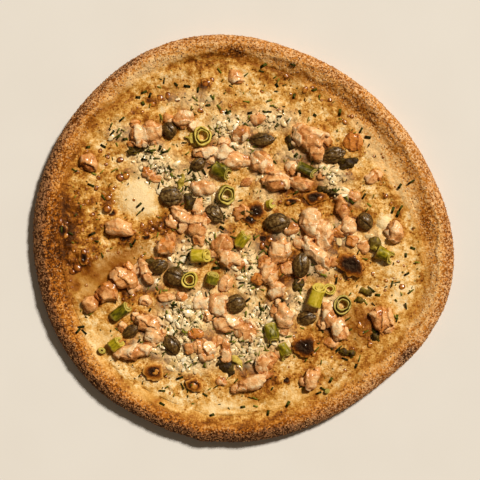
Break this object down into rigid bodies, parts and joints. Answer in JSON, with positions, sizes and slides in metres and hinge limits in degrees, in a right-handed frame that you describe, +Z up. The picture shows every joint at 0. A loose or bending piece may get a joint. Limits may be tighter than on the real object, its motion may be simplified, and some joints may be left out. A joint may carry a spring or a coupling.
{
  "type": "smoked salmon white pizza",
  "caption": "Round baked white pizza with a puffed rim, melted cream and cheese, torn salmon, capers, spring onion and snipped chives; whole, uncut, without its plate.",
  "frame": {"origin": "centre of the pizza's box on the surface it lies on", "axes": "+Z up, +X to the right and +Y away in the picture, which looks straight down"},
  "size_m": [0.2962, 0.2866, 0.0187],
  "materials": {
    "crust": "dry baked dough, coarse with semolina, browned on the rim",
    "cheese": "melted cream and cheese, satin, golden with browned blisters",
    "salmon": "baked fish, moist satin",
    "caper": "dark olive green, oily",
    "spring_onion": "green to pale yellow, moist"
  },
  "bodies": {
    "root": {"crust": "crust", "cheese": "cheese", "salmon_01": "salmon", "salmon_02": "salmon", "salmon_03": "salmon", "salmon_04": "salmon", "salmon_05": "salmon", "salmon_06": "salmon", "salmon_07": "salmon", "salmon_08": "salmon", "salmon_09": "salmon", "salmon_10": "salmon", "salmon_11": "salmon", "salmon_12": "salmon", "salmon_13": "salmon", "salmon_14": "salmon", "salmon_15": "salmon", "salmon_16": "salmon", "salmon_17": "salmon", "salmon_18": "salmon", "salmon_19": "salmon", "salmon_20": "salmon", "salmon_21": "salmon", "salmon_22": "salmon", "salmon_23": "salmon", "salmon_24": "salmon", "salmon_25": "salmon", "salmon_26": "salmon", "salmon_27": "salmon", "salmon_28": "salmon", "salmon_29": "salmon", "salmon_30": "salmon", "caper_01": "caper", "caper_02": "caper", "caper_03": "caper", "caper_04": "caper", "caper_05": "caper", "caper_06": "caper", "caper_07": "caper", "caper_08": "caper", "caper_09": "caper", "caper_10": "caper", "caper_11": "caper", "caper_12": "caper", "caper_13": "caper", "spring_onion_01": "spring_onion", "spring_onion_02": "spring_onion", "spring_onion_03": "spring_onion", "spring_onion_04": "spring_onion", "spring_onion_05": "spring_onion", "spring_onion_06": "spring_onion", "spring_onion_07": "spring_onion", "spring_onion_08": "spring_onion", "spring_onion_09": "spring_onion", "spring_onion_10": "spring_onion", "spring_onion_11": "spring_onion", "spring_onion_12": "spring_onion", "spring_onion_13": "spring_onion", "spring_onion_14": "spring_onion", "spring_onion_15": "spring_onion"}
  },
  "joints": []
}
